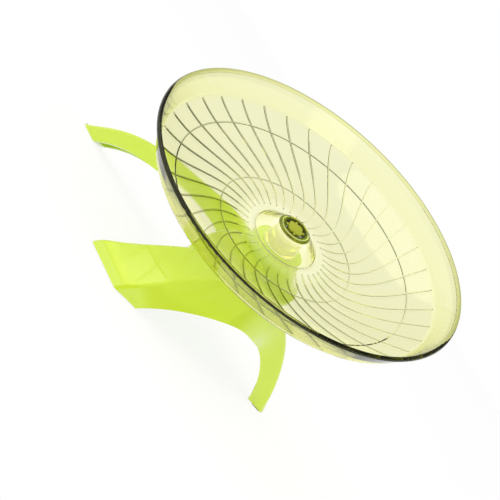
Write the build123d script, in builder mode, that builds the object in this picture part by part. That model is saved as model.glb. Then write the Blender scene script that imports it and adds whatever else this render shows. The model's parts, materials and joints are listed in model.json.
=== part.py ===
from build123d import *
import math
import os

os.makedirs("parts", exist_ok=True)

# Flying saucer wheel: a shallow dish that spins on two ball bearings, held tilted
# by a moulded stand with one wide front leg and two narrow arched legs.
# Millimetres and degrees. +Z is up, the floor is Z = 0 and the dish leans towards -Y.

# Driving sizes
rim_radius = 152.4
rim_bead_radius = 2.0
rim_height = 145.0
dish_tilt = 27.0
overrun = 5.0

# Feet, from the floor point below the rim's centre
left_foot_reach = 208.0
left_foot_back = 17.0
front_foot_reach = 137.0
right_foot_reach = 92.0
right_foot_back = 86.0

# Dish
dish_wall = 2.4
floor_depth = 43.9
floor_radius = 46.0
bowl_radius = 195.0
side_lean = 11.9
side_foot_round = 6.0
boss_foot_radius = 32.0
boss_foot_round = 7.0
boss_top_radius = 14.2
boss_top_round = 1.2
boss_top_depth = 29.6
boss_skin = 3.6
boss_end_radius = 16.6
ring_rib_radii = (66.9, 119.1)
rib_width = 1.1
rib_height = 0.8
ring_rib_height = 0.5
rib_root = 0.6

# Swirling ribs: how far a rib has turned at each radius, as shares of its reach and its turn
swirl_count = 34
swirl_inner_gap = 6.5
swirl_outer_gap = 1.0
swirl_start = 11.3
swirl_turn = 24.0
swirl_shares = ((0.0, 0.0), (0.125, -0.10), (0.25, -0.03), (0.435, 0.27), (0.67, 0.665), (1.0, 1.0))

# Ball bearings, 608 size
bearing_bore_radius = 4.0
bearing_outer_radius = 11.0
bearing_width = 7.0
bearing_chamfer = 0.3
ball_radius = 1.984
ball_circle_radius = 7.5
ball_count = 7
inner_race_shoulder = 6.0
outer_race_shoulder = 9.1
shield_seat_radius = 9.7
shield_inner_radius = 6.25
shield_thickness = 0.35
shield_recess = 0.1
cage_inner_radius = 6.7
cage_outer_radius = 8.4
cage_half_height = 2.45
cage_clearance = 0.1
ball_clearance = 0.06
press_clearance = 0.02
running_clearance = 0.05

# Hub stack along the axle, as depths below the rim's plane
upper_bearing_depth = 35.0
ledge_thickness = 3.0
ledge_radius = 9.6
collar_thickness = 3.0
collar_radius = 5.9
hub_mouth = 0.6
sleeve_radius = 5.6
lower_bearing_depth = upper_bearing_depth + bearing_width + ledge_thickness
bearing_end_depth = lower_bearing_depth + bearing_width
hub_bottom_depth = bearing_end_depth + hub_mouth
seat_depth = bearing_end_depth + collar_thickness

# Hub cap
cap_clearance = 0.1
cap_plate = 1.4
cap_drop = 0.3
cap_skirt_wall = 0.8
cap_bridge = 2.0
cap_lobe_count = 4
cap_lobe_radius = 3.9
cap_lobe_circle = 3.9
cap_core_rise = 0.4

# Axle, shim, circlip, washer and nut
shim_thickness = 0.5
shim_radius = 6.0
clip_thickness = 0.8
clip_groove_depth = 0.3
clip_radius = 5.4
clip_gap = 2.6
clip_lug_radius = 1.3
clip_hole_radius = 0.5
axle_end_length = 1.1
axle_chamfer = 0.5
axle_flat = 3.3
axle_tail = 2.4
socket_length = 22.0
socket_radius = 10.0
nut_washer_thickness = 1.2
nut_washer_radius = 8.0
nut_height = 5.2
nut_collar_height = 1.6
nut_collar_radius = 5.4
nut_across_flats = 13.0

# Stand
shell_wall = 2.6
crease_round = 3.5
inner_round = 1.5
crest_height = 80.0
front_foot_width = 68.0
left_foot_width = 20.0
shell_depth = 38.0
pedestal_radius = 24.0
pedestal_foot_radius = 33.0
pedestal_height = 24.0
pedestal_foot_round = 30.0
bell_radius = 41.0
bell_drop = 6.0
bell_edge = 4.0
web_thickness = 2.2
web_count = 6
arch_start_side = 39.0
arch_start_inset = 19.0
arch_end_inset = 4.0
arch_end_front = 28.8
arch_heading = 62.0
arch_height = 43.3
arch_reach_in = 200.0
arch_reach_out = 60.0

# Foot pads
pad_thickness = 1.6
pad_proud = 0.7
pad_clearance = 0.1
side_pad_length = 12.0
side_pad_width = 6.0
front_pad_length = 34.0
front_pad_width = 10.0

# Sections of the shell that runs from the front foot over the hub to the right foot.
# Across, along and height of the top's middle, as shares of the foot's reaches and of
# the crest, then half widths left and right at the top and at the foot, and the depth.
front_leg_shares = (
    (0.057, -1.038, -0.125, 0.26, 0.33, 0.35, 0.46, 0.45),
    (0.076, -0.869, 0.175, 0.325, 0.325, 0.44, 0.515, 0.53),
    (0.12, -0.657, 0.42, 0.28, 0.28, 0.47, 0.575, 0.66),
    (0.174, -0.423, 0.662, 0.265, 0.25, 0.50, 0.63, 0.84),
    (0.261, -0.16, 0.84, 0.28, 0.28, 0.56, 0.68, 1.0),
)
right_leg_shares = (
    (0.467, 0.256, 0.883, 0.25, 0.26, 0.45, 0.50, 1.0),
    (0.663, 0.53, 0.749, 0.155, 0.16, 0.22, 0.295, 0.84),
    (0.826, 0.759, 0.49, 0.09, 0.12, 0.10, 0.205, 0.68),
    (0.938, 0.915, 0.213, 0.05, 0.12, 0.04, 0.155, 0.60),
    (1.016, 1.026, -0.068, 0.03, 0.12, 0.02, 0.147, 0.58),
)
left_leg_shares = (
    (0.096, 1.412, 0.975, 0.90, 0.90, 1.70, 1.70, 0.68),
    (-0.058, 1.588, 1.025, 0.75, 0.75, 1.40, 1.40, 0.68),
    (-0.231, 1.588, 0.997, 0.55, 0.55, 0.90, 0.90, 0.605),
    (-0.447, 1.412, 0.832, 0.45, 0.45, 0.70, 0.70, 0.46),
    (-0.663, 1.235, 0.644, 0.40, 0.40, 0.60, 0.60, 0.46),
    (-0.808, 1.118, 0.448, 0.375, 0.375, 0.525, 0.525, 0.435),
    (-0.921, 1.059, 0.2, 0.36, 0.36, 0.46, 0.46, 0.42),
    (-1.056, 1.0, -0.088, 0.35, 0.35, 0.45, 0.45, 0.39),
)
shoulder_shares = (
    (0.087, -0.46, 0.56, 0.15, 0.29, 0.28, 0.35, 0.68),
    (0.022, -0.23, 0.77, 0.29, 0.29, 0.36, 0.44, 0.89),
    (0.0, 0.03, 0.955, 0.35, 0.35, 0.44, 0.53, 1.0),
    (0.0, 0.18, 0.965, 0.35, 0.35, 0.50, 0.53, 1.0),
)
arch_shares = (
    (-0.03, -0.20),
    (0.07, 0.20),
    (0.21, 0.52),
    (0.39, 0.83),
    (0.56, 1.0),
    (0.71, 0.91),
    (0.82, 0.73),
    (0.93, 0.41),
    (1.02, -0.10),
)

# The origin is the middle of the object's outline on the floor
tilt = math.radians(dish_tilt)
rim_outer_radius = rim_radius + rim_bead_radius
dish_back_reach = rim_radius * math.cos(tilt) + rim_bead_radius
centre_x = (left_foot_reach - rim_outer_radius) / 2
centre_y = (front_foot_reach - dish_back_reach) / 2

# Wheel plane: origin at the rim's centre, +Z out of the dish along its axle
wheel_plane = Plane(
    origin=(centre_x, centre_y, rim_height),
    x_dir=(1, 0, 0),
    z_dir=(0, -math.sin(tilt), math.cos(tilt)),
)
axle_axis = Axis(wheel_plane.origin, wheel_plane.z_dir)


def wheel_level(depth):
    """Plane square to the axle, this far below the rim's plane."""
    return wheel_plane.offset(-depth)


def axle_section(depth=0):
    """Plane through the axle: X is the radius and Y the height above this depth."""
    return Plane(wheel_level(depth).location * Plane.XZ.location)


def ring_section(inner, outer, low, high):
    """Rectangle in an axle section, for a ring between two radii and two heights."""
    middle = Pos((inner + outer) / 2, (low + high) / 2)
    return middle * Rectangle(outer - inner, high - low, mode=Mode.PRIVATE)


# Dish: a turned shell with a bearing boss in its middle
def bowl_height(radius, drop=0):
    """Height of the curved floor, or of its underside, above the rim's plane."""
    reach = max(radius - floor_radius, 0)
    return bowl_radius - floor_depth - math.sqrt((bowl_radius + drop) ** 2 - reach**2)


half_wall = dish_wall / 2
side_foot_radius = rim_radius - side_lean
bowl_middle_radius = (floor_radius + side_foot_radius) / 2
under_foot_radius = side_foot_radius + dish_wall
floor_edge = (floor_radius, -floor_depth)
side_foot = (side_foot_radius, bowl_height(side_foot_radius))
under_foot = (under_foot_radius, bowl_height(under_foot_radius, dish_wall))
under_floor_edge = (floor_radius, -floor_depth - dish_wall)
boss_foot = (boss_foot_radius, -floor_depth)
boss_top = (boss_top_radius, -boss_top_depth)
boss_root = (boss_top_radius, -boss_top_depth - boss_skin)
under_boss_foot = (boss_foot_radius - dish_wall, -floor_depth - dish_wall)

# One swirling rib: a curved strip, cut to a thin layer that follows the bowl
swirl_inner_radius = boss_foot_radius + swirl_inner_gap
swirl_reach = side_foot_radius - swirl_outer_gap - swirl_inner_radius
swirl_points = []
for radius_share, turn_share in swirl_shares:
    radius = swirl_inner_radius + radius_share * swirl_reach
    angle = math.radians(swirl_start + turn_share * swirl_turn)
    swirl_points.append((radius * math.cos(angle), radius * math.sin(angle)))

with BuildPart() as swirl_rib:
    with BuildSketch(axle_section()):
        with BuildLine():
            low_edge = Line(
                (boss_foot_radius, -floor_depth - rib_root), (floor_radius, -floor_depth - rib_root)
            )
            low_arc = ThreePointArc(
                low_edge @ 1,
                (bowl_middle_radius, bowl_height(bowl_middle_radius, rib_root)),
                (side_foot_radius, bowl_height(side_foot_radius, rib_root)),
            )
            high_arc = ThreePointArc(
                (side_foot_radius, bowl_height(side_foot_radius, -rib_height)),
                (bowl_middle_radius, bowl_height(bowl_middle_radius, -rib_height)),
                (floor_radius, -floor_depth + rib_height),
            )
            high_edge = Line(high_arc @ 1, (boss_foot_radius, -floor_depth + rib_height))
            Line(low_arc @ 1, high_arc @ 0)
            Line(high_edge @ 1, low_edge @ 0)
        make_face()
    revolve(axis=axle_axis)
    with BuildSketch(wheel_level(floor_depth + dish_wall)):
        with BuildLine():
            centre_line = Spline(*swirl_points)
        trace(centre_line, rib_width)
    extrude(amount=floor_depth, mode=Mode.INTERSECT)

with BuildPart() as saucer:
    with BuildSketch(axle_section()):
        with BuildLine():
            Polyline((bearing_outer_radius, -boss_top_depth), boss_top, boss_foot, floor_edge)
            ThreePointArc(
                floor_edge, (bowl_middle_radius, bowl_height(bowl_middle_radius)), side_foot
            )
            Polyline(
                side_foot, (rim_radius - half_wall, 0), (rim_radius + half_wall, 0), under_foot
            )
            ThreePointArc(
                under_foot,
                (bowl_middle_radius, bowl_height(bowl_middle_radius, dish_wall)),
                under_floor_edge,
            )
            Polyline(
                under_floor_edge,
                under_boss_foot,
                boss_root,
                (boss_end_radius, -hub_bottom_depth),
                (bearing_outer_radius, -hub_bottom_depth),
                (bearing_outer_radius, -boss_top_depth),
            )
        make_face()
        fillet(vertices().sort_by_distance(boss_foot)[0], boss_foot_round)
        fillet(vertices().sort_by_distance(boss_top)[0], boss_top_round)
        fillet(vertices().sort_by_distance(side_foot)[0], side_foot_round)
        fillet(vertices().sort_by_distance(under_foot)[0], side_foot_round + dish_wall)
        with Locations((rim_radius, 0)):
            Circle(rim_bead_radius)
        for radius in ring_rib_radii:
            height = bowl_height(radius)
            half_rib = rib_width / 2
            add(
                ring_section(
                    radius - half_rib, radius + half_rib, height - rib_root, height + ring_rib_height
                )
            )
        add(
            ring_section(
                ledge_radius,
                bearing_outer_radius + half_wall,
                -lower_bearing_depth,
                -lower_bearing_depth + ledge_thickness,
            )
        )
    revolve(axis=axle_axis)
    swirl_turns = [360 * index / swirl_count for index in range(swirl_count)]
    add([swirl_rib.part.rotate(axle_axis, turn) for turn in swirl_turns])
saucer.part.label = "saucer"

# Hub cap: a skirt on the outer race and a four-lobed core on four bridges
cap_radius = bearing_outer_radius - cap_clearance
cap_window_radius = cap_radius - cap_skirt_wall
cap_top_depth = boss_top_depth + cap_drop
cap_lobe_step = 360 / cap_lobe_count

with BuildPart() as hub_cap:
    with BuildSketch(wheel_level(upper_bearing_depth)):
        Circle(cap_radius)
        Circle(cap_window_radius, mode=Mode.SUBTRACT)
    extrude(amount=upper_bearing_depth - cap_top_depth)
    with BuildSketch(wheel_level(cap_top_depth + cap_plate)):
        with PolarLocations(cap_window_radius / 2, cap_lobe_count, cap_lobe_step / 2):
            Rectangle(cap_window_radius + cap_skirt_wall, cap_bridge)
    extrude(amount=cap_plate)
    with BuildSketch(wheel_level(cap_top_depth + cap_plate)):
        with PolarLocations(cap_lobe_circle, cap_lobe_count):
            Circle(cap_lobe_radius)
    extrude(amount=cap_plate + cap_core_rise)
hub_cap.part.label = "hub_cap"

# Ball bearings: races, shields, cage and balls for the upper and the lower bearing
groove_radius = ball_radius + ball_clearance
half_width = bearing_width / 2
shield_pocket = shield_recess + shield_thickness
bearing_pieces = []

for place, top_depth in (("upper", upper_bearing_depth), ("lower", lower_bearing_depth)):
    middle_depth = top_depth + half_width

    with BuildPart() as outer_race:
        with BuildSketch(axle_section(middle_depth)):
            add(ring_section(outer_race_shoulder, bearing_outer_radius, -half_width, half_width))
            with Locations((ball_circle_radius, 0)):
                Circle(groove_radius, mode=Mode.SUBTRACT)
            for low in (-half_width, half_width - shield_pocket):
                pocket = ring_section(outer_race_shoulder, shield_seat_radius, low, low + shield_pocket)
                add(pocket, mode=Mode.SUBTRACT)
            chamfer(
                vertices().filter_by_position(
                    Axis.X, bearing_outer_radius - bearing_chamfer, bearing_outer_radius
                ),
                bearing_chamfer,
            )
        revolve(axis=axle_axis)
    outer_race.part.label = place + "_outer_race"

    with BuildPart() as inner_race:
        with BuildSketch(axle_section(middle_depth)):
            add(ring_section(bearing_bore_radius, inner_race_shoulder, -half_width, half_width))
            with Locations((ball_circle_radius, 0)):
                Circle(groove_radius, mode=Mode.SUBTRACT)
        revolve(axis=axle_axis)
    inner_race.part.label = place + "_inner_race"

    with BuildPart() as shields:
        with BuildSketch(axle_section(middle_depth)):
            for low in (-half_width + shield_recess, half_width - shield_pocket):
                add(
                    ring_section(
                        shield_inner_radius,
                        shield_seat_radius - press_clearance,
                        low,
                        low + shield_thickness,
                    )
                )
        revolve(axis=axle_axis)
    shields.part.label = place + "_shields"

    with BuildPart() as cage:
        with BuildSketch(axle_section(middle_depth)):
            add(
                ring_section(
                    cage_inner_radius, cage_outer_radius, -cage_half_height, cage_half_height
                )
            )
        revolve(axis=axle_axis)
        ball_turns = [360 * index / ball_count for index in range(ball_count)]
        pocket_planes = [
            Plane(wheel_level(middle_depth).location * Rotation(0, 0, turn) * Plane.YZ.location)
            for turn in ball_turns
        ]
        with BuildSketch(*pocket_planes):
            Circle(ball_radius + cage_clearance)
        extrude(amount=bearing_outer_radius, mode=Mode.SUBTRACT)
    cage.part.label = place + "_cage"

    with BuildPart(wheel_level(middle_depth)) as balls:
        with PolarLocations(ball_circle_radius, ball_count):
            Sphere(ball_radius)
    balls.part.label = place + "_balls"

    bearing_pieces += [outer_race, inner_race, shields, cage, balls]

# Spacer sleeve that carries the clamp load from one inner race to the other
with BuildPart() as inner_spacer:
    with BuildSketch(wheel_level(lower_bearing_depth)):
        Circle(sleeve_radius)
        Circle(bearing_bore_radius, mode=Mode.SUBTRACT)
    extrude(amount=ledge_thickness)
inner_spacer.part.label = "inner_spacer"

# Axle: clip groove on top, collar under the lower race, flat down to the nut
axle_radius = bearing_bore_radius - press_clearance
clip_bottom_depth = upper_bearing_depth - shim_thickness
clip_top_depth = clip_bottom_depth - clip_thickness
axle_top_depth = clip_top_depth - axle_end_length
socket_end_depth = seat_depth + socket_length
nut_depth = socket_end_depth + nut_washer_thickness
nut_end_depth = nut_depth + nut_height + nut_collar_height
axle_bottom_depth = nut_end_depth + axle_tail
groove_floor_radius = axle_radius - clip_groove_depth

with BuildPart() as axle:
    with BuildSketch(wheel_level(axle_bottom_depth)):
        Circle(axle_radius)
    extrude(amount=axle_bottom_depth - axle_top_depth)
    chamfer(edges().group_by(axle_axis)[0] + edges().group_by(axle_axis)[-1], axle_chamfer)
    with BuildSketch(wheel_level(clip_bottom_depth)):
        Circle(axle_radius + overrun)
        Circle(groove_floor_radius, mode=Mode.SUBTRACT)
    extrude(amount=clip_thickness, mode=Mode.SUBTRACT)
    with BuildSketch(wheel_level(seat_depth)):
        Circle(collar_radius)
    extrude(amount=collar_thickness)
    with BuildSketch(axle_section(axle_bottom_depth)):
        add(ring_section(axle_flat, axle_radius + overrun, 0, axle_bottom_depth - seat_depth))
    extrude(amount=axle_radius + overrun, both=True, mode=Mode.SUBTRACT)
axle.part.label = "axle"

with BuildPart() as shim_washer:
    with BuildSketch(wheel_level(upper_bearing_depth)):
        Circle(shim_radius)
        Circle(bearing_bore_radius, mode=Mode.SUBTRACT)
    extrude(amount=shim_thickness)
shim_washer.part.label = "shim_washer"

# Circlip: open ring with two eyes for the pliers
clip_mean_radius = (groove_floor_radius + clip_radius) / 2
clip_eye_angle = math.degrees((clip_gap / 2 + clip_lug_radius) / clip_mean_radius)

with BuildPart() as circlip:
    with BuildSketch(wheel_level(clip_bottom_depth)):
        Circle(clip_radius)
        with Locations((0, -clip_radius)):
            Rectangle(clip_gap, clip_radius * 2, mode=Mode.SUBTRACT)
        for turn in (-90 - clip_eye_angle, -90 + clip_eye_angle):
            with PolarLocations(clip_mean_radius + clip_hole_radius, 1, turn):
                Circle(clip_lug_radius)
        for turn in (-90 - clip_eye_angle, -90 + clip_eye_angle):
            with PolarLocations(clip_mean_radius + clip_hole_radius, 1, turn):
                Circle(clip_hole_radius, mode=Mode.SUBTRACT)
        Circle(groove_floor_radius + press_clearance, mode=Mode.SUBTRACT)
    extrude(amount=clip_thickness)
circlip.part.label = "circlip"

with BuildPart() as nut_washer:
    with BuildSketch(wheel_level(nut_depth)):
        Circle(nut_washer_radius)
        Circle(axle_radius + running_clearance, mode=Mode.SUBTRACT)
    extrude(amount=nut_washer_thickness)
nut_washer.part.label = "nut_washer"

with BuildPart() as axle_nut:
    with BuildSketch(wheel_level(nut_depth + nut_height)):
        RegularPolygon(nut_across_flats / 2, 6, major_radius=False)
    extrude(amount=nut_height)
    with BuildSketch(wheel_level(nut_end_depth)):
        Circle(nut_collar_radius)
    extrude(amount=nut_collar_height)
    with BuildSketch(wheel_level(nut_end_depth)):
        Circle(axle_radius + running_clearance)
    extrude(amount=nut_height + nut_collar_height, mode=Mode.SUBTRACT)
axle_nut.part.label = "axle_nut"


# Stand
def leg_stations(shares, reach_x, reach_y, width):
    """Top point, half widths and depth of each section of a leg."""
    stations = []
    for across, along, height, *half_shares, depth in shares:
        point = Vector(
            centre_x + across * reach_x, centre_y + along * reach_y, height * crest_height
        )
        stations.append((point, [share * width for share in half_shares], depth * shell_depth))
    return stations


def leg_body(stations, inset, corner, overhang):
    """Loft through the sections of a leg: narrow on top, wide at its lower edge."""
    with BuildPart() as leg:
        for index, (point, half_widths, depth) in enumerate(stations):
            travel = stations[min(index + 1, len(stations) - 1)][0] - stations[max(index - 1, 0)][0]
            left_top, right_top, left_foot, right_foot = [half - inset for half in half_widths]
            section_plane = Plane(origin=point, x_dir=Vector(0, 0, 1).cross(travel), z_dir=travel)
            with BuildSketch(section_plane):
                with BuildLine():
                    Polyline(
                        (left_top, -inset),
                        (left_foot, -depth - overhang),
                        (-right_foot, -depth - overhang),
                        (-right_top, -inset),
                        close=True,
                    )
                make_face()
                fillet(vertices().sort_by(Axis.Y)[2:], corner)
        loft()
    return leg.part


def sole_plane(inner, tip, pad_reach):
    """Plane of a foot pad, one wall inside the leg's outer edge, with +X out along the leg."""
    inner_point, _, _ = inner
    tip_point, (_, _, left_foot, right_foot), _ = tip
    fall = tip_point - inner_point
    outward = Vector(fall.X, fall.Y, 0).normalized()
    leftward = Vector(0, 0, 1).cross(outward)
    edge = inner_point - fall * (inner_point.Z / fall.Z)
    middle = edge - outward * (pad_reach + shell_wall) + leftward * (left_foot - right_foot) / 2
    return Plane(origin=(middle.X, middle.Y, 0), x_dir=outward, z_dir=(0, 0, 1))


front_stations = leg_stations(
    front_leg_shares, right_foot_reach, front_foot_reach, front_foot_width
)
right_stations = leg_stations(
    right_leg_shares, right_foot_reach, right_foot_back, front_foot_width
)
main_stations = front_stations + right_stations
left_stations = leg_stations(left_leg_shares, left_foot_reach, left_foot_back, left_foot_width)
shoulder_stations = leg_stations(
    shoulder_shares, right_foot_reach, front_foot_reach, front_foot_width
)

front_sole = sole_plane(main_stations[1], main_stations[0], front_pad_width / 2)
right_sole = sole_plane(main_stations[-2], main_stations[-1], side_pad_length / 2)
left_sole = sole_plane(left_stations[-2], left_stations[-1], side_pad_length / 2)

heading = math.radians(arch_heading)
arch_start = Vector(arch_start_side, arch_start_inset - front_foot_reach)
arch_end = Vector(right_foot_reach - arch_end_inset, right_foot_back - arch_end_front)
arch_direction = Vector(math.sin(heading), math.cos(heading))
arch_length = (arch_end - arch_start).dot(arch_direction)
arch_plane = Plane(
    origin=(centre_x + arch_start.X, centre_y + arch_start.Y, 0),
    x_dir=arch_direction,
    z_dir=arch_direction.cross(Vector(0, 0, 1)),
)
arch_points = [
    (length * arch_length, height * arch_height) for length, height in arch_shares
]
web_outer_radius = pedestal_foot_radius + shell_wall


def bell_body(inset, overhang):
    """Turned hub of the stand: a tapered pedestal that flares into the legs."""
    foot_height = -pedestal_height - inset
    edge_height = foot_height - bell_drop
    with BuildPart() as bell:
        with BuildSketch(axle_section(seat_depth)):
            with BuildLine():
                Polyline(
                    (0, -inset),
                    (pedestal_radius - inset, -inset),
                    (pedestal_foot_radius - inset, foot_height),
                    (bell_radius - inset, edge_height),
                    (bell_radius - inset, edge_height + inset - bell_edge - overhang),
                    (0, edge_height + inset - bell_edge - overhang),
                    close=True,
                )
            make_face()
            fillet(
                vertices().sort_by_distance((pedestal_foot_radius - inset, foot_height))[0],
                pedestal_foot_round + inset,
            )
        revolve(axis=axle_axis)
    return bell.part


# Hollow of the stand, open below, that leaves the axle's socket and its webs
with BuildPart() as hollow:
    add(leg_body(main_stations[1:-1], shell_wall, inner_round, overrun))
    add(leg_body(left_stations[:-1], shell_wall, inner_round, overrun))
    add(leg_body(shoulder_stations, shell_wall, inner_round, overrun))
    add(bell_body(shell_wall, overrun))
    with BuildSketch(wheel_level(socket_end_depth)):
        Circle(socket_radius)
        with PolarLocations((web_outer_radius + socket_radius) / 2, web_count):
            Rectangle(web_outer_radius - socket_radius + shell_wall, web_thickness)
    extrude(amount=socket_length, mode=Mode.SUBTRACT)

with BuildPart() as stand:
    add(leg_body(main_stations, 0, crease_round, 0))
    add(leg_body(left_stations, 0, crease_round, 0))
    add(leg_body(shoulder_stations, 0, crease_round, 0))
    add(bell_body(0, 0))
    add(hollow.part, mode=Mode.SUBTRACT)
    with BuildSketch(arch_plane.offset(-arch_reach_in)):
        with BuildLine():
            Spline(*arch_points)
            Line(arch_points[-1], arch_points[0])
        make_face()
    extrude(amount=arch_reach_in + arch_reach_out, mode=Mode.SUBTRACT)
    split(bisect_by=Plane.XY.offset(pad_proud), keep=Keep.TOP)
    with BuildSketch(wheel_level(socket_end_depth + overrun)):
        Circle(axle_radius + running_clearance)
        with Locations((axle_flat + running_clearance + axle_radius, 0)):
            Rectangle(axle_radius * 2, axle_radius * 2, mode=Mode.SUBTRACT)
    extrude(amount=socket_length + overrun * 2, mode=Mode.SUBTRACT)
    with BuildSketch(left_sole, right_sole):
        SlotOverall(side_pad_length + pad_clearance * 2, side_pad_width + pad_clearance * 2)
    extrude(amount=pad_thickness, mode=Mode.SUBTRACT)
    with BuildSketch(front_sole):
        SlotOverall(
            front_pad_length + pad_clearance * 2, front_pad_width + pad_clearance * 2, rotation=90
        )
    extrude(amount=pad_thickness, mode=Mode.SUBTRACT)
stand.part.label = "stand"

# Foot pads
with BuildPart() as foot_pad_front:
    with BuildSketch(front_sole):
        SlotOverall(front_pad_length, front_pad_width, rotation=90)
    extrude(amount=pad_thickness)
foot_pad_front.part.label = "foot_pad_front"

with BuildPart() as foot_pad_left:
    with BuildSketch(left_sole):
        SlotOverall(side_pad_length, side_pad_width)
    extrude(amount=pad_thickness)
foot_pad_left.part.label = "foot_pad_left"

with BuildPart() as foot_pad_right:
    with BuildSketch(right_sole):
        SlotOverall(side_pad_length, side_pad_width)
    extrude(amount=pad_thickness)
foot_pad_right.part.label = "foot_pad_right"

pieces = bearing_pieces + [
    saucer,
    hub_cap,
    inner_spacer,
    axle,
    shim_washer,
    circlip,
    nut_washer,
    axle_nut,
    stand,
    foot_pad_front,
    foot_pad_left,
    foot_pad_right,
]
for piece in pieces:
    export_step(piece.part, "parts/" + piece.part.label + ".step")
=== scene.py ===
import bmesh
import bpy
import json
import math
from mathutils import Matrix, Quaternion, Vector

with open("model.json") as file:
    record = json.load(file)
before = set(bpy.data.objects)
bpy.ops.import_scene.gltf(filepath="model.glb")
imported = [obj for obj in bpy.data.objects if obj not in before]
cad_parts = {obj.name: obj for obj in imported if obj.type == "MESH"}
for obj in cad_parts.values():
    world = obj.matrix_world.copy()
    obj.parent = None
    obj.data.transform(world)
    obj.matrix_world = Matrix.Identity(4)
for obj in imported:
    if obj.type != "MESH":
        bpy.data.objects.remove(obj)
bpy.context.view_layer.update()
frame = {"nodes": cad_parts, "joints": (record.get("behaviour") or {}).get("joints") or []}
nodes = frame["nodes"]
print("frame loaded:", len(nodes), "nodes")

spinJoint = next(joint for joint in frame["joints"] if joint["name"] == "wheel_spin")
rimCentre = Vector(spinJoint["pos_m"])
wheelAxis = Vector(spinJoint["axis"]).normalized()
wheelTilt = math.atan2(-wheelAxis.y, wheelAxis.z)
floorPoint = Vector((rimCentre.x, rimCentre.y, 0))


def addNode(tree, kind, inputs=None, **settings):
    node = tree.nodes.new(kind)
    for name, value in settings.items():
        setattr(node, name, value)
    for name, value in (inputs or {}).items():
        socket = node.inputs[name]
        if isinstance(value, bpy.types.NodeSocket):
            tree.links.new(value, socket)
        else:
            socket.default_value = value
    return node


def mathNode(tree, operation, first, second=0.0):
    return addNode(tree, "ShaderNodeMath", {0: first, 1: second}, operation=operation).outputs[0]


def mixColours(tree, factor, first, second, blend="MIX"):
    inputs = {0: factor, 6: first, 7: second}
    return addNode(tree, "ShaderNodeMix", inputs, data_type="RGBA", blend_type=blend).outputs[2]


def mixValues(tree, factor, first, second):
    inputs = {0: factor, 2: first, 3: second}
    return addNode(tree, "ShaderNodeMix", inputs, data_type="FLOAT").outputs[0]


def ramp(tree, value, low, high, start=0.0, end=1.0):
    limits = {"Value": value, "From Min": low, "From Max": high, "To Min": start, "To Max": end}
    node = addNode(tree, "ShaderNodeMapRange", limits, interpolation_type="SMOOTHSTEP")
    return node.outputs["Result"]


def newMaterial(name):
    material = bpy.data.materials.new(name)
    material.use_nodes = True
    material.node_tree.nodes.clear()
    return material, material.node_tree


def dress(nodeNames, material):
    for name in nodeNames:
        slots = nodes[name].data.materials
        slots.clear()
        slots.append(material)


# The photograph is taken low, from the front right, with the camera rolled over
camera = {
    "position": (0.4183, -0.9061, 0.2362),  # from the floor point under the rim's centre
    "azimuth": -65.18,
    "elevation": 9.0,
    "roll": 56.0,
    "lens": 87.42,
    "sensor": 36.0,
}
azimuth, elevation = math.radians(camera["azimuth"]), math.radians(camera["elevation"])
level = math.cos(elevation)
backward = Vector((math.cos(azimuth) * level, math.sin(azimuth) * level, math.sin(elevation)))
roll = Quaternion((0, 0, 1), math.radians(camera["roll"]))
cameraTurn = (backward.to_track_quat("Z", "Y") @ roll).to_matrix().to_4x4()
cameraData = bpy.data.cameras.new("studioCamera")
cameraData.lens = camera["lens"]
cameraData.sensor_width = camera["sensor"]
cameraObject = bpy.data.objects.new("studioCamera", cameraData)
cameraObject.matrix_world = Matrix.Translation(floorPoint + Vector(camera["position"])) @ cameraTurn
bpy.context.scene.collection.objects.link(cameraObject)
bpy.context.scene.camera = cameraObject
bpy.context.scene.view_settings.view_transform = "Standard"
print("camera placed")

# A white room with a dim ceiling: the camera and the glass see white, gloss sees the dome
studio = {
    "ambient": 0.83,
    "ceiling": 0.18,  # what a glossy surface mirrors from overhead
    "dimFrom": 0.38,  # sine of the height where the dome starts to dim
    "dimTo": 0.66,
    "whiteShare": 0.8,
    "floorLift": 0.17,  # what the lit floor lacks to be white; the shadow stays
    "floorColour": (0.92, 0.92, 0.92, 1),
    "floorRoughness": 0.8,
    "floorSpecular": 0.2,
    "floorSize": 6.0,
    "paperScale": 40.0,
    "paperLow": 0.985,
    "lampColour": (1.0, 0.995, 0.98),
}


def lightPath(tree):
    path = addNode(tree, "ShaderNodeLightPath").outputs
    direct = mathNode(tree, "MAXIMUM", path["Is Camera Ray"], path["Is Transmission Ray"])
    return direct, path["Is Glossy Ray"]


world = bpy.data.worlds.new("whiteRoom")
bpy.context.scene.world = world
world.use_nodes = True
worldTree = world.node_tree
worldTree.nodes.clear()
skyDirection = addNode(worldTree, "ShaderNodeTexCoord").outputs["Generated"]
skyHeight = addNode(worldTree, "ShaderNodeSeparateXYZ", {"Vector": skyDirection}).outputs["Z"]
dome = ramp(worldTree, skyHeight, studio["dimFrom"], studio["dimTo"], 1.0, studio["ceiling"])
direct, glossy = lightPath(worldTree)
mirrored = mixValues(worldTree, glossy, studio["ambient"], dome)
strength = mixValues(worldTree, direct, mirrored, 1.0)
background = addNode(
    worldTree, "ShaderNodeBackground", {"Color": (1, 1, 1, 1), "Strength": strength}
)
addNode(worldTree, "ShaderNodeOutputWorld", {"Surface": background.outputs[0]})

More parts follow.
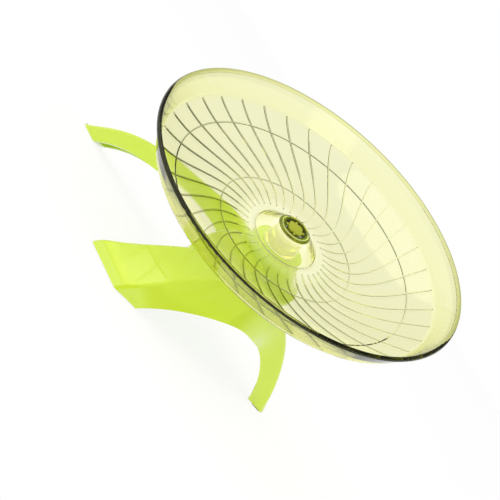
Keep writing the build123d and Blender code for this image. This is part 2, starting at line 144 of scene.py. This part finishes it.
floorMaterial, floorTree = newMaterial("paleFloor")
paper = addNode(floorTree, "ShaderNodeTexNoise", {"Scale": studio["paperScale"], "Detail": 3.0})
paperTone = addNode(
    floorTree,
    "ShaderNodeMapRange",
    {"Value": paper.outputs["Fac"], "To Min": studio["paperLow"], "To Max": 1.0},
)
paperColour = mixColours(floorTree, 1.0, studio["floorColour"], paperTone.outputs[0], "MULTIPLY")
floorSurface = addNode(
    floorTree,
    "ShaderNodeBsdfPrincipled",
    {
        "Base Color": paperColour,
        "Roughness": studio["floorRoughness"],
        "Specular IOR Level": studio["floorSpecular"],
    },
)
floorGlow = addNode(floorTree, "ShaderNodeEmission", {"Color": (1, 1, 1, 1), "Strength": 1.0})
direct, glossy = lightPath(floorTree)
seen = mathNode(floorTree, "MAXIMUM", direct, glossy)
share = mathNode(floorTree, "MULTIPLY", seen, studio["whiteShare"])
lift = mathNode(floorTree, "MULTIPLY", seen, studio["floorLift"])
floorLight = addNode(floorTree, "ShaderNodeEmission", {"Color": (1, 1, 1, 1), "Strength": lift})
litFloor = addNode(
    floorTree, "ShaderNodeAddShader", {0: floorSurface.outputs[0], 1: floorLight.outputs[0]}
)
floorMix = addNode(
    floorTree, "ShaderNodeMixShader", {0: share, 1: litFloor.outputs[0], 2: floorGlow.outputs[0]}
)
addNode(floorTree, "ShaderNodeOutputMaterial", {"Surface": floorMix.outputs[0]})

floorMesh = bpy.data.meshes.new("studioFloor")
shape = bmesh.new()
bmesh.ops.create_grid(shape, x_segments=1, y_segments=1, size=studio["floorSize"] / 2)
shape.to_mesh(floorMesh)
shape.free()
floorMesh.materials.append(floorMaterial)
floorObject = bpy.data.objects.new("studioFloor", floorMesh)
bpy.context.scene.collection.objects.link(floorObject)


def addLamp(name, place, target, size, power):
    data = bpy.data.lights.new(name, "AREA")
    data.shape = "DISK"
    data.size = size
    data.energy = power
    data.color = studio["lampColour"]
    lamp = bpy.data.objects.new(name, data)
    aim = (Vector(place) - Vector(target)).to_track_quat("Z", "Y").to_matrix().to_4x4()
    lamp.matrix_world = Matrix.Translation(place) @ aim
    bpy.context.scene.collection.objects.link(lamp)
    return lamp


lamps = {
    "sideLamp": {"place": (-0.80, -0.50, 1.38), "target": (0, 0, 0.08), "size": 1.5, "power": 5.5},
    "frontLamp": {"place": (1.3, -1.2, 0.8), "target": (0, 0, 0.08), "size": 1.2, "power": 3.0},
}
for name, lamp in lamps.items():
    addLamp(name, lamp["place"], lamp["target"], lamp["size"], lamp["power"])
print("studio lit")


# Shared effects
def newGroup(name, inputs, outputs):
    group = bpy.data.node_groups.new(name, "ShaderNodeTree")
    for label, kind, value in inputs:
        socket = group.interface.new_socket(name=label, in_out="INPUT", socket_type=kind)
        socket.default_value = value
    for label, kind in outputs:
        group.interface.new_socket(name=label, in_out="OUTPUT", socket_type=kind)
    start = group.nodes.new("NodeGroupInput")
    end = group.nodes.new("NodeGroupOutput")
    return group, start.outputs, end.inputs


fineHeight = 0.12  # height of the fine skin, as a share of the ripples


# Polished moulding: broad sink ripples, a fine skin and a drifting tone
def makeMouldedSkin():
    group, given, result = newGroup(
        "mouldedSkin",
        [
            ("Fine Scale", "NodeSocketFloat", 900.0),
            ("Ripple Scale", "NodeSocketFloat", 28.0),
            ("Base Roughness", "NodeSocketFloat", 0.1),
            ("Roughness Spread", "NodeSocketFloat", 0.08),
        ],
        [(label, "NodeSocketFloat") for label in ("Roughness", "Height", "Tone")],
    )
    coords = addNode(group, "ShaderNodeTexCoord").outputs["Object"]
    fineInputs = {"Vector": coords, "Scale": given["Fine Scale"], "Detail": 2.0}
    rippleInputs = {"Vector": coords, "Scale": given["Ripple Scale"], "Detail": 1.0}
    fine = addNode(group, "ShaderNodeTexNoise", fineInputs)
    ripple = addNode(group, "ShaderNodeTexNoise", rippleInputs)
    spread = mathNode(group, "MULTIPLY", ripple.outputs["Fac"], given["Roughness Spread"])
    rough = mathNode(group, "ADD", spread, given["Base Roughness"])
    group.links.new(rough, result["Roughness"])
    fineShare = mathNode(group, "MULTIPLY", fine.outputs["Fac"], fineHeight)
    height = mathNode(group, "ADD", ripple.outputs["Fac"], fineShare)
    group.links.new(height, result["Height"])
    group.links.new(ripple.outputs["Fac"], result["Tone"])
    return group


# Place on the wheel: radius from the axle, way up its slope and height over the rim's plane
def makeWheelPlace():
    group, _, result = newGroup(
        "wheelPlace",
        [],
        [(label, "NodeSocketFloat") for label in ("Radius", "Slope", "Height")],
    )
    coords = addNode(group, "ShaderNodeTexCoord").outputs["Object"]
    moved = addNode(
        group, "ShaderNodeVectorMath", {0: coords, 1: rimCentre}, operation="SUBTRACT"
    ).outputs[0]
    turned = addNode(
        group,
        "ShaderNodeVectorRotate",
        {"Vector": moved, "Angle": -wheelTilt},
        rotation_type="X_AXIS",
    )
    parts = addNode(group, "ShaderNodeSeparateXYZ", {"Vector": turned.outputs[0]})
    x, y, z = parts.outputs
    acrossSquare = mathNode(group, "MULTIPLY", x, x)
    alongSquare = mathNode(group, "MULTIPLY", y, y)
    squares = mathNode(group, "ADD", acrossSquare, alongSquare)
    group.links.new(mathNode(group, "SQRT", squares), result["Radius"])
    group.links.new(y, result["Slope"])
    group.links.new(z, result["Height"])
    return group


def groupNode(tree, group, inputs=None):
    return addNode(tree, "ShaderNodeGroup", inputs, node_tree=group)


mouldedSkin = makeMouldedSkin()
wheelPlace = makeWheelPlace()

# Metres from the rim's centre, as the solid has them
dishForm = {
    "floorDepth": 0.0439,
    "floorRadius": 0.046,
    "bowlRadius": 0.195,
    "ribStart": 0.0505,
    "ribEnd": 0.1372,
    "ribFoot": (0.00014, 0.00022),
    "ribTop": (0.00074, 0.00078),
    "ringTop": (0.00044, 0.00048),
    "topShare": 0.6,
    "ringRadii": (0.0669, 0.1191),
    "ringHalf": 0.00075,
    "beadStart": (0.1500, 0.1512),
    "bossEdge": (0.0380, 0.0510),
    "tubeEdge": (0.0168, 0.0200),
    "coneGlowShare": 0.35,
    "wallStart": (0.1385, 0.1425),
    "bossTop": (-0.0322, -0.0312),
    "seatEdges": (0.0126, 0.0137, 0.0160),
    # slope over which the ribs' painted shade fades, and the share of it left on the far side
    "ribFade": (-0.06, 0.03),
    "ribPale": 0.05,
}


# Masks of the dish: the rib mask is painted shade on what stands proud of the bowl's curve, darkest
# on the rib side walls and fading to pale on the far side of the wheel; the seat mask is painted
# shade round the bearing seat; the boss mask carries a painted glow
def makeDishRelief(form):
    labels = ("Rib Shade", "Bead", "Boss Glow", "Wall", "Bowl", "Seat Shade", "Height")
    group, _, result = newGroup("dishRelief", [], [(label, "NodeSocketFloat") for label in labels])
    place = groupNode(group, wheelPlace).outputs
    radius = place["Radius"]
    beyondFloor = mathNode(group, "SUBTRACT", radius, form["floorRadius"])
    reach = mathNode(group, "MAXIMUM", beyondFloor, 0.0)
    reachSquare = mathNode(group, "MULTIPLY", reach, reach)
    dropSquare = mathNode(group, "SUBTRACT", form["bowlRadius"] ** 2, reachSquare)
    drop = mathNode(group, "SQRT", dropSquare)
    curve = mathNode(group, "SUBTRACT", form["bowlRadius"] - form["floorDepth"], drop)
    proud = mathNode(group, "SUBTRACT", place["Height"], curve)
    risen = ramp(group, proud, *form["ribFoot"])
    ribTop = ramp(group, proud, *form["ribTop"], 1.0, form["topShare"])
    ringTop = ramp(group, proud, *form["ringTop"], 1.0, form["topShare"])
    onRings = 0.0
    for ringRadius in form["ringRadii"]:
        away = mathNode(group, "ABSOLUTE", mathNode(group, "SUBTRACT", radius, ringRadius))
        onRing = mathNode(group, "LESS_THAN", away, form["ringHalf"])
        onRings = mathNode(group, "MAXIMUM", onRing, onRings)
    stepped = mathNode(group, "MULTIPLY", risen, mixValues(group, onRings, ribTop, ringTop))
    outside = mathNode(group, "GREATER_THAN", radius, form["ribStart"])
    inside = mathNode(group, "LESS_THAN", radius, form["ribEnd"])
    ring = mathNode(group, "MULTIPLY", outside, inside)
    # painted shade on the ribs, fading to pale on the far side of the wheel
    paintedShadeFade = ramp(group, place["Slope"], *form["ribFade"], 1.0, form["ribPale"])
    ribs = mathNode(group, "MULTIPLY", mathNode(group, "MULTIPLY", stepped, ring), paintedShadeFade)
    group.links.new(ribs, result["Rib Shade"])
    group.links.new(ramp(group, radius, *form["beadStart"]), result["Bead"])
    # mask of the painted glow on the boss's cone and tube
    cone = ramp(group, radius, *form["bossEdge"], form["coneGlowShare"], 0.0)
    tube = ramp(group, radius, *form["tubeEdge"], 1.0, 0.0)
    group.links.new(mathNode(group, "MAXIMUM", cone, tube), result["Boss Glow"])
    wall = ramp(group, radius, *form["wallStart"])
    group.links.new(wall, result["Wall"])
    group.links.new(mathNode(group, "SUBTRACT", 1.0, wall), result["Bowl"])
    group.links.new(place["Height"], result["Height"])
    # painted shade round the bearing seat at the top of the boss
    top = ramp(group, place["Height"], *form["bossTop"])
    inner, outer, end = form["seatEdges"]
    lip = mathNode(
        group,
        "MULTIPLY",
        mathNode(group, "GREATER_THAN", radius, outer),
        mathNode(group, "LESS_THAN", radius, end),
    )
    rings = mathNode(group, "ADD", mathNode(group, "LESS_THAN", radius, inner), lip)
    group.links.new(mathNode(group, "MULTIPLY", top, rings), result["Seat Shade"])
    return group


dishRelief = makeDishRelief(dishForm)


# Tinted clear moulding: painted olive shade where it is seen edge on and along the bead, ribs and
# bearing seat painted dark as shade, and a painted glow on the boss standing in for reflected light
def clearPlastic(name, look):
    material, tree = newMaterial(name)
    skin = groupNode(tree, mouldedSkin, look["skin"])
    relief = groupNode(tree, dishRelief).outputs
    bump = addNode(
        tree,
        "ShaderNodeBump",
        {
            "Strength": look["bump"],
            "Distance": look["bumpDepth"],
            "Height": mathNode(tree, "MULTIPLY", skin.outputs["Height"], relief["Bowl"]),
        },
    )
    # painted shade: the glass turns olive where it is seen edge on
    facing = addNode(tree, "ShaderNodeLayerWeight", {"Blend": look["edgeBlend"]}).outputs["Facing"]
    grazing = mathNode(tree, "POWER", facing, look["edgePower"])
    beadGrazing = mathNode(tree, "POWER", facing, look["beadPower"])
    paintedGrazingShade = mathNode(tree, "MULTIPLY", grazing, look["edgeShare"])
    # painted shade along the rim bead where it is seen edge on
    paintedBeadShade = mathNode(tree, "MULTIPLY", beadGrazing, relief["Bead"])
    tone = mixColours(tree, skin.outputs["Tone"], look["face"], look["faceDeep"])
    streakPlace = mathNode(tree, "MULTIPLY", relief["Height"], look["streakScale"])
    streaks = addNode(
        tree, "ShaderNodeTexNoise", {"W": streakPlace, "Detail": 1.0}, noise_dimensions="1D"
    )
    streaked = ramp(tree, streaks.outputs["Fac"], *look["streakEdges"])
    wallTone = mixColours(tree, streaked, look["wall"], look["wallDeep"])
    colour = mixColours(tree, relief["Wall"], tone, wallTone)
    colour = mixColours(tree, paintedGrazingShade, colour, look["edge"])
    colour = mixColours(tree, paintedBeadShade, colour, look["beadShade"])
    # painted shade: ribs dark, then the bearing seat dark
    colour = mixColours(tree, relief["Rib Shade"], colour, look["rib"])
    colour = mixColours(tree, relief["Seat Shade"], colour, look["seatShade"])
    # painted glow on the boss, standing in for reflected light
    drift = ramp(tree, skin.outputs["Tone"], *look["glowDriftEdges"], look["glowDriftLow"], 1.0)
    paintedGlowMask = mathNode(tree, "MULTIPLY", relief["Boss Glow"], drift)
    paintedGlowMask = mathNode(tree, "MULTIPLY", paintedGlowMask, mathNode(tree, "SUBTRACT", 1.0, relief["Seat Shade"]))
    paintedDark = mathNode(tree, "MAXIMUM", relief["Bead"], relief["Rib Shade"])
    plain = mathNode(tree, "SUBTRACT", 1.0, paintedDark)
    surface = addNode(
        tree,
        "ShaderNodeBsdfPrincipled",
        {
            "Base Color": colour,
            "Roughness": skin.outputs["Roughness"],
            "IOR": look["ior"],
            "Transmission Weight": 1.0,
            "Specular Tint": look["mirrorTint"],
            "Specular IOR Level": look["mirrorLevel"],
            "Coat Weight": mathNode(tree, "MULTIPLY", plain, look["coat"]),
            "Coat Roughness": look["coatRoughness"],
            "Emission Color": mixColours(tree, paintedGlowMask, (0, 0, 0, 1), look["paintedGlow"]),
            "Emission Strength": 1.0,
            "Normal": bump.outputs[0],
        },
    )
    shadow = addNode(tree, "ShaderNodeBsdfTransparent", {"Color": look["shadow"]})
    path = addNode(tree, "ShaderNodeLightPath")
    mix = addNode(
        tree,
        "ShaderNodeMixShader",
        {0: path.outputs["Is Shadow Ray"], 1: surface.outputs[0], 2: shadow.outputs[0]},
    )
    inside = addNode(
        tree, "ShaderNodeVolumeAbsorption", {"Color": look["absorb"], "Density": look["density"]}
    )
    addNode(
        tree, "ShaderNodeOutputMaterial", {"Surface": mix.outputs[0], "Volume": inside.outputs[0]}
    )
    return material


# Opaque glossy moulding with a drifting tone and a painted highlight where it is seen edge on
def solidPlastic(name, look):
    material, tree = newMaterial(name)
    skin = groupNode(tree, mouldedSkin, look["skin"])
    bump = addNode(
        tree,
        "ShaderNodeBump",
        {"Strength": look["bump"], "Distance": look["bumpDepth"], "Height": skin.outputs["Height"]},
    )
    tone = mixColours(tree, skin.outputs["Tone"], look["light"], look["deep"])
    # painted highlight: lighter where the surface is seen edge on
    facing = addNode(tree, "ShaderNodeLayerWeight", {"Blend": 0.5}).outputs["Facing"]
    grazing = mathNode(tree, "POWER", facing, look["edgePower"])
    colour = mixColours(tree, grazing, tone, look["edge"])
    surface = addNode(
        tree,
        "ShaderNodeBsdfPrincipled",
        {
            "Base Color": colour,
            "Roughness": skin.outputs["Roughness"],
            "IOR": look["ior"],
            "Coat Weight": look["coat"],
            "Coat Roughness": look["coatRoughness"],
            "Normal": bump.outputs[0],
        },
    )
    addNode(tree, "ShaderNodeOutputMaterial", {"Surface": surface.outputs[0]})
    return material


# Tinted cap: a bright core over a skirt painted dark as shade
def capPlastic(name, look):
    material, tree = newMaterial(name)
    skin = groupNode(tree, mouldedSkin, look["skin"])
    radius = groupNode(tree, wheelPlace).outputs["Radius"]
    bump = addNode(
        tree,
        "ShaderNodeBump",
        {"Strength": look["bump"], "Distance": look["bumpDepth"], "Height": skin.outputs["Height"]},
    )
    tone = mixColours(tree, skin.outputs["Tone"], look["light"], look["deep"])
    # painted shade: the skirt outside the core is dark
    colour = mixColours(tree, ramp(tree, radius, *look["skirtFrom"]), tone, look["skirt"])
    surface = addNode(
        tree,
        "ShaderNodeBsdfPrincipled",
        {
            "Base Color": colour,
            "Roughness": skin.outputs["Roughness"],
            "IOR": look["ior"],
            "Normal": bump.outputs[0],
        },
    )
    addNode(tree, "ShaderNodeOutputMaterial", {"Surface": surface.outputs[0]})
    return material


# Ground steel with fine rings round the axle
def turnedMetal(name, look):
    material, tree = newMaterial(name)
    radius = groupNode(tree, wheelPlace).outputs["Radius"]
    ringPlace = mathNode(tree, "MULTIPLY", radius, look["ringScale"])
    rings = addNode(
        tree, "ShaderNodeTexNoise", {"W": ringPlace, "Detail": 2.0}, noise_dimensions="1D"
    )
    rough = addNode(
        tree,
        "ShaderNodeMapRange",
        {"Value": rings.outputs["Fac"], "To Min": look["smooth"], "To Max": look["rough"]},
    )
    colour = mixColours(tree, rings.outputs["Fac"], look["light"], look["deep"])
    surface = addNode(
        tree,
        "ShaderNodeBsdfPrincipled",
        {"Base Color": colour, "Roughness": rough.outputs[0], "Metallic": 1.0},
    )
    addNode(tree, "ShaderNodeOutputMaterial", {"Surface": surface.outputs[0]})
    return material


dishLook = {
    "skin": {
        "Fine Scale": 700.0,
        "Ripple Scale": 22.0,
        "Base Roughness": 0.015,
        "Roughness Spread": 0.03,
    },
    "bump": 0.12,
    "bumpDepth": 0.0008,
    "edgeBlend": 0.5,
    "edgePower": 3.0,
    "edgeShare": 0.35,
    "beadPower": 0.7,
    # bead: painted dark shade along the rim bead
    "beadShade": (0.22, 0.25, 0.06, 1),
    "streakScale": 420.0,
    "streakEdges": (0.4, 0.6),
    "glowDriftEdges": (0.3, 0.7),
    "glowDriftLow": 0.6,
    "face": (0.965, 0.96, 0.955, 1),
    "faceDeep": (0.955, 0.95, 0.925, 1),
    "wall": (0.98, 0.975, 0.93, 1),
    "wallDeep": (0.94, 0.945, 0.76, 1),
    # edge: painted olive shade where the glass is seen edge on
    "edge": (0.34, 0.40, 0.07, 1),
    # rib: painted dark shade on the ribs
    "rib": (0.035, 0.04, 0.01, 1),
    # seat: painted dark shade round the bearing seat
    "seatShade": (0.12, 0.14, 0.015, 1),
    # haze: colour of a painted glow on the boss
    "paintedGlow": (0.16, 0.155, 0.20, 1),
    "mirrorTint": (0.9, 0.92, 0.55, 1),
    "mirrorLevel": 0.3,
    "coat": 0.1,
    "coatRoughness": 0.3,
    "ior": 1.49,
    "shadow": (0.84, 0.88, 0.55, 1),
    "absorb": (0.92, 0.93, 0.0, 1),
    "density": 165.0,
}
capLook = {
    "skin": {
        "Fine Scale": 900.0,
        "Ripple Scale": 120.0,
        "Base Roughness": 0.08,
        "Roughness Spread": 0.06,
    },
    "bump": 0.1,
    "bumpDepth": 0.0003,
    "light": (0.50, 0.54, 0.05, 1),
    "deep": (0.40, 0.44, 0.03, 1),
    # skirt: painted dark shade
    "skirt": (0.09, 0.10, 0.01, 1),
    "skirtFrom": (0.0088, 0.0096),
    "ior": 1.49,
}
standLook = {
    "skin": {
        "Fine Scale": 800.0,
        "Ripple Scale": 16.0,
        "Base Roughness": 0.10,
        "Roughness Spread": 0.10,
    },
    "bump": 0.10,
    "bumpDepth": 0.0010,
    "light": (0.73, 0.91, 0.050, 1),
    "deep": (0.67, 0.89, 0.018, 1),
    # edge: painted highlight where the surface is seen edge on
    "edge": (0.84, 0.95, 0.26, 1),
    "edgePower": 3.0,
    "coat": 1.0,
    "coatRoughness": 0.08,
    "ior": 1.5,
}
padLook = {
    "skin": {
        "Fine Scale": 1500.0,
        "Ripple Scale": 200.0,
        "Base Roughness": 0.55,
        "Roughness Spread": 0.2,
    },
    "bump": 0.4,
    "bumpDepth": 0.0003,
    "light": (0.035, 0.035, 0.035, 1),
    "deep": (0.015, 0.015, 0.015, 1),
    # edge: painted highlight where the surface is seen edge on
    "edge": (0.05, 0.05, 0.05, 1),
    "edgePower": 4.0,
    "coat": 0.0,
    "coatRoughness": 0.3,
    "ior": 1.5,
}
raceLook = {
    "skin": {
        "Fine Scale": 1500.0,
        "Ripple Scale": 150.0,
        "Base Roughness": 0.2,
        "Roughness Spread": 0.1,
    },
    "bump": 0.1,
    "bumpDepth": 0.0002,
    "light": (0.94, 0.93, 0.80, 1),
    "deep": (0.90, 0.89, 0.74, 1),
    # edge: painted highlight where the surface is seen edge on
    "edge": (0.96, 0.95, 0.84, 1),
    "edgePower": 4.0,
    "coat": 0.0,
    "coatRoughness": 0.3,
    "ior": 1.5,
}
cageLook = {
    "skin": {
        "Fine Scale": 1500.0,
        "Ripple Scale": 150.0,
        "Base Roughness": 0.35,
        "Roughness Spread": 0.1,
    },
    "bump": 0.1,
    "bumpDepth": 0.0002,
    "light": (0.86, 0.85, 0.78, 1),
    "deep": (0.80, 0.79, 0.70, 1),
    # edge: painted highlight where the surface is seen edge on
    "edge": (0.88, 0.87, 0.80, 1),
    "edgePower": 4.0,
    "coat": 0.0,
    "coatRoughness": 0.3,
    "ior": 1.53,
}
steelLook = {
    "ringScale": 9000.0,
    "smooth": 0.16,
    "rough": 0.34,
    "light": (0.74, 0.74, 0.75, 1),
    "deep": (0.58, 0.58, 0.60, 1),
}
darkSteelLook = {
    "ringScale": 7000.0,
    "smooth": 0.3,
    "rough": 0.5,
    "light": (0.16, 0.16, 0.17, 1),
    "deep": (0.08, 0.08, 0.09, 1),
}

dress(["saucer"], clearPlastic("clearDish", dishLook))
dress(["hub_cap"], capPlastic("oliveCap", capLook))
dress(["stand"], solidPlastic("limeStand", standLook))
dress(["foot_pad_front", "foot_pad_left", "foot_pad_right"], solidPlastic("footRubber", padLook))
dress(
    [
        "upper_inner_race",
        "lower_inner_race",
        "upper_outer_race",
        "lower_outer_race",
        "upper_shields",
        "lower_shields",
        "inner_spacer",
    ],
    solidPlastic("paleAcetal", raceLook),
)
dress(["upper_cage", "lower_cage"], solidPlastic("cageNylon", cageLook))
dress(
    ["axle", "shim_washer", "nut_washer", "axle_nut", "upper_balls", "lower_balls"],
    turnedMetal("groundSteel", steelLook),
)
dress(["circlip"], turnedMetal("blackSpringSteel", darkSteelLook))
print("nodes dressed")
